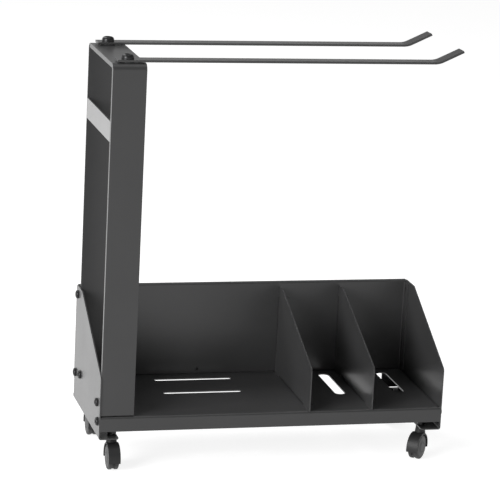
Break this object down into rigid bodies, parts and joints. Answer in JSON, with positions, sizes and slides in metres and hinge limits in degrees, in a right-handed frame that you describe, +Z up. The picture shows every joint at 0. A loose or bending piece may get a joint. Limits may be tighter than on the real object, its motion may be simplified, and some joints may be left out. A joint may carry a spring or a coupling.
{
  "type": "rolling desk-side caddy",
  "caption": "Rolling sheet-steel caddy: a tray split by two dividers on twin-wheel casters, with a bent-strip arch carrying two flat swing bars.",
  "frame": {"origin": "on the floor, midway between the side panels and midway between the front and rear wheels at rest", "axes": "+Z up, +X from the arch towards the narrow bays, -Y towards the open front"},
  "size_m": [0.4566, 0.1918, 0.538],
  "materials": {
    "painted_sheet": "satin powder coat",
    "painted_strap": "satin powder coat",
    "painted_bar": "satin powder coat",
    "dark_steel": "black oxide",
    "nylon": "moulded satin",
    "wheel": "moulded satin"
  },
  "bodies": {
    "frame": {"base_tray": "painted_sheet", "back_panel": "painted_sheet", "left_side_panel": "painted_sheet", "right_side_panel": "painted_sheet", "left_divider": "painted_sheet", "right_divider": "painted_sheet", "arch": "painted_sheet", "upper_strap": "painted_strap", "lower_strap": "painted_sheet", "bar_spacers": "nylon", "bar_bolts": "dark_steel", "bar_nuts": "dark_steel", "left_side_screws": "dark_steel", "right_side_screws": "dark_steel", "back_screws": "dark_steel", "divider_screws": "dark_steel", "divider_nuts": "dark_steel", "foot_screws": "dark_steel", "foot_nuts": "dark_steel", "caster_nuts": "dark_steel", "front_left_stem": "dark_steel", "front_right_stem": "dark_steel", "rear_left_stem": "dark_steel", "rear_right_stem": "dark_steel"},
    "front_arm": {"front_bar": "painted_bar"},
    "rear_arm": {"rear_bar": "painted_bar"},
    "front_left_swivel": {"front_left_housing": "nylon", "front_left_axle": "dark_steel"},
    "front_left_outer": {"front_left_outer_wheel": "wheel"},
    "front_left_inner": {"front_left_inner_wheel": "wheel"},
    "front_right_swivel": {"front_right_housing": "nylon", "front_right_axle": "dark_steel"},
    "front_right_outer": {"front_right_outer_wheel": "wheel"},
    "front_right_inner": {"front_right_inner_wheel": "wheel"},
    "rear_left_swivel": {"rear_left_housing": "nylon", "rear_left_axle": "dark_steel"},
    "rear_left_outer": {"rear_left_outer_wheel": "wheel"},
    "rear_left_inner": {"rear_left_inner_wheel": "wheel"},
    "rear_right_swivel": {"rear_right_housing": "nylon", "rear_right_axle": "dark_steel"},
    "rear_right_outer": {"rear_right_outer_wheel": "wheel"},
    "rear_right_inner": {"rear_right_inner_wheel": "wheel"}
  },
  "joints": [
    {"name": "front_bar_swing", "type": "hinge", "parent": "frame", "child": "front_arm", "pos_m": [-0.20225, -0.072, 0.522], "axis": [0, 0, 1], "range_deg": [-90, 5]},
    {"name": "rear_bar_swing", "type": "hinge", "parent": "frame", "child": "rear_arm", "pos_m": [-0.20225, 0.0547, 0.522], "axis": [0, 0, 1], "range_deg": [-5, 90]},
    {"name": "front_left_swivel_turn", "type": "hinge", "parent": "frame", "child": "front_left_swivel", "pos_m": [-0.2045, -0.07, 0.039], "axis": [0, 0, 1], "continuous": true},
    {"name": "front_left_outer_spin", "type": "hinge", "parent": "front_left_swivel", "child": "front_left_outer", "pos_m": [-0.2045, -0.0775, 0.016], "axis": [1, 0, 0], "continuous": true},
    {"name": "front_left_inner_spin", "type": "hinge", "parent": "front_left_swivel", "child": "front_left_inner", "pos_m": [-0.2045, -0.0775, 0.016], "axis": [1, 0, 0], "continuous": true},
    {"name": "front_right_swivel_turn", "type": "hinge", "parent": "frame", "child": "front_right_swivel", "pos_m": [0.2045, -0.07, 0.039], "axis": [0, 0, 1], "continuous": true},
    {"name": "front_right_outer_spin", "type": "hinge", "parent": "front_right_swivel", "child": "front_right_outer", "pos_m": [0.19968, -0.07575, 0.016], "axis": [-0.766, 0.6428, 0], "continuous": true},
    {"name": "front_right_inner_spin", "type": "hinge", "parent": "front_right_swivel", "child": "front_right_inner", "pos_m": [0.19968, -0.07575, 0.016], "axis": [-0.766, 0.6428, 0], "continuous": true},
    {"name": "rear_left_swivel_turn", "type": "hinge", "parent": "frame", "child": "rear_left_swivel", "pos_m": [-0.2045, 0.07, 0.039], "axis": [0, 0, 1], "continuous": true},
    {"name": "rear_left_outer_spin", "type": "hinge", "parent": "rear_left_swivel", "child": "rear_left_outer", "pos_m": [-0.2045, 0.0625, 0.016], "axis": [1, 0, 0], "continuous": true},
    {"name": "rear_left_inner_spin", "type": "hinge", "parent": "rear_left_swivel", "child": "rear_left_inner", "pos_m": [-0.2045, 0.0625, 0.016], "axis": [1, 0, 0], "continuous": true},
    {"name": "rear_right_swivel_turn", "type": "hinge", "parent": "frame", "child": "rear_right_swivel", "pos_m": [0.2045, 0.07, 0.039], "axis": [0, 0, 1], "continuous": true},
    {"name": "rear_right_outer_spin", "type": "hinge", "parent": "rear_right_swivel", "child": "rear_right_outer", "pos_m": [0.2045, 0.0775, 0.016], "axis": [1, 0, 0], "continuous": true},
    {"name": "rear_right_inner_spin", "type": "hinge", "parent": "rear_right_swivel", "child": "rear_right_inner", "pos_m": [0.2045, 0.0775, 0.016], "axis": [1, 0, 0], "continuous": true}
  ]
}
